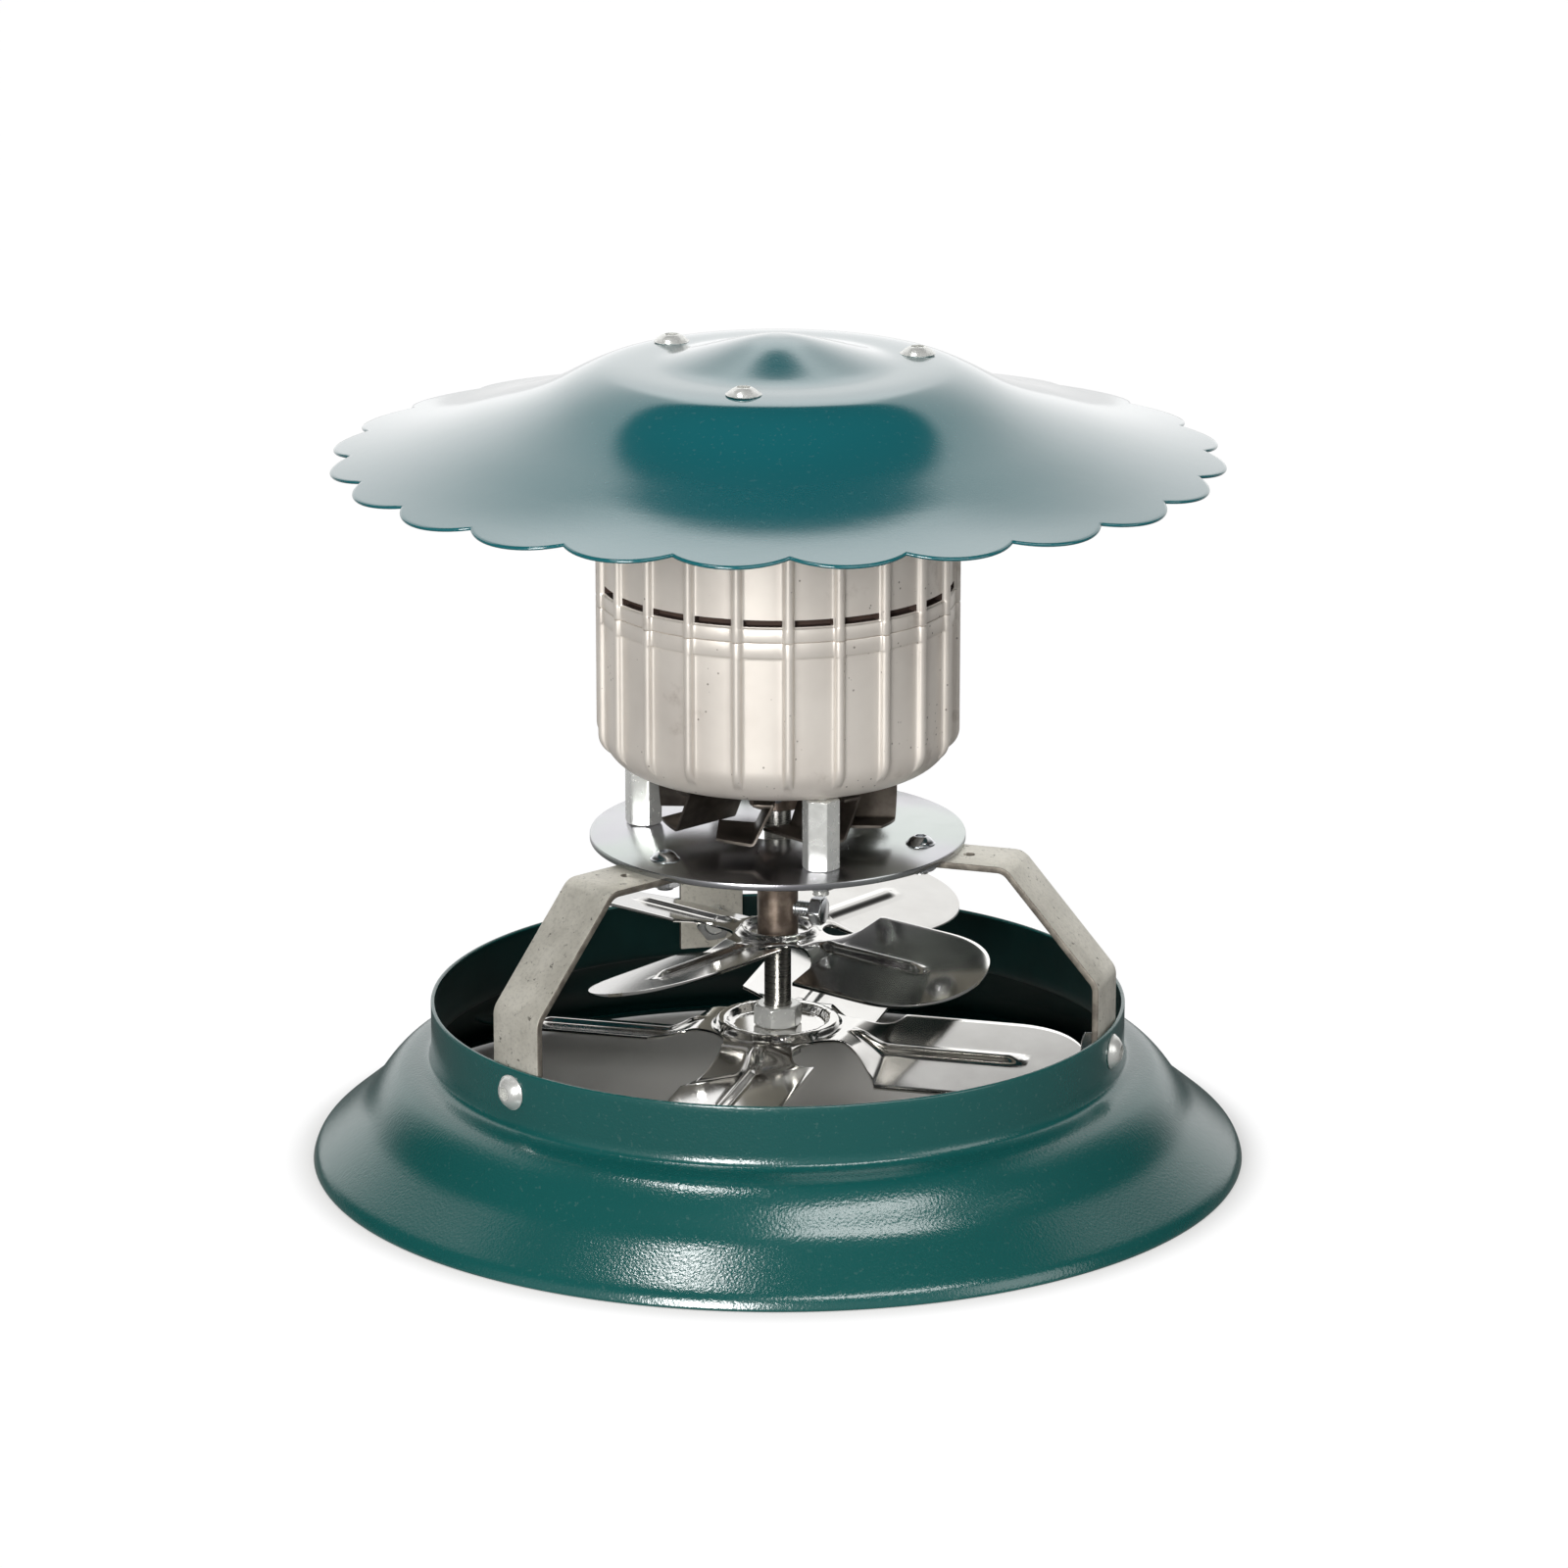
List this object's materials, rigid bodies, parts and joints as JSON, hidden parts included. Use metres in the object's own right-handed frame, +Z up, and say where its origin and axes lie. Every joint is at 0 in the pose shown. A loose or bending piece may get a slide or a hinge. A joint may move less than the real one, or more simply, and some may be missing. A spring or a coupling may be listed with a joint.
{
  "type": "chimney draught fan",
  "caption": "Chimney draught fan with a flared collar, bent straps, a ribbed motor under a scalloped rain cap, and stamped impellers on its shaft.",
  "frame": {"origin": "centre of the rim that stands on the flue, at the height of its underside", "axes": "+Z up along the shaft; the picture looks along +Y from slightly above, with +X to the right"},
  "size_m": [0.28, 0.28, 0.2505],
  "materials": {
    "green_paint": "satin powder coat",
    "galvanised": "mottled galvanised sheet",
    "bright_zinc": "bright zinc plate",
    "zinc_plate": "smooth zinc plate",
    "cast_aluminium": "satin die casting",
    "core_steel": "laminated core",
    "copper": "enamelled wire",
    "ground_steel": "ground steel",
    "black_plastic": "moulded nylon",
    "dark_sheet": "dark coated sheet",
    "brown_steel": "turned steel, browned",
    "stainless": "polished stainless sheet"
  },
  "bodies": {
    "housing": {"base_collar": "green_paint", "strap_front_left": "galvanised", "strap_right": "galvanised", "strap_back": "galvanised", "collar_screws": "bright_zinc", "collar_nuts": "bright_zinc", "mounting_plate": "zinc_plate", "plate_screws": "bright_zinc", "plate_nuts": "bright_zinc", "pillars": "bright_zinc", "pillar_nuts": "bright_zinc", "motor_lower_shell": "cast_aluminium", "motor_upper_shell": "cast_aluminium", "motor_bolts": "bright_zinc", "stator_core": "core_steel", "windings": "copper", "lower_bearing": "ground_steel", "upper_bearing": "ground_steel", "gland_body": "black_plastic", "gland_nut": "black_plastic", "rain_cap": "green_paint", "cap_screws": "bright_zinc"},
    "rotor": {"shaft": "ground_steel", "rotor_core": "core_steel", "cooling_fan": "dark_sheet", "fan_hub": "brown_steel", "fan_hub_screw": "dark_sheet", "bush": "brown_steel", "bush_screw": "bright_zinc", "upper_impeller": "stainless", "lower_impeller": "stainless", "impeller_washer": "bright_zinc", "impeller_nuts": "bright_zinc"}
  },
  "joints": [
    {"name": "rotor_spin", "type": "hinge", "parent": "housing", "child": "rotor", "pos_m": [0, 0, 0.07], "axis": [0, 0, 1], "continuous": true}
  ]
}
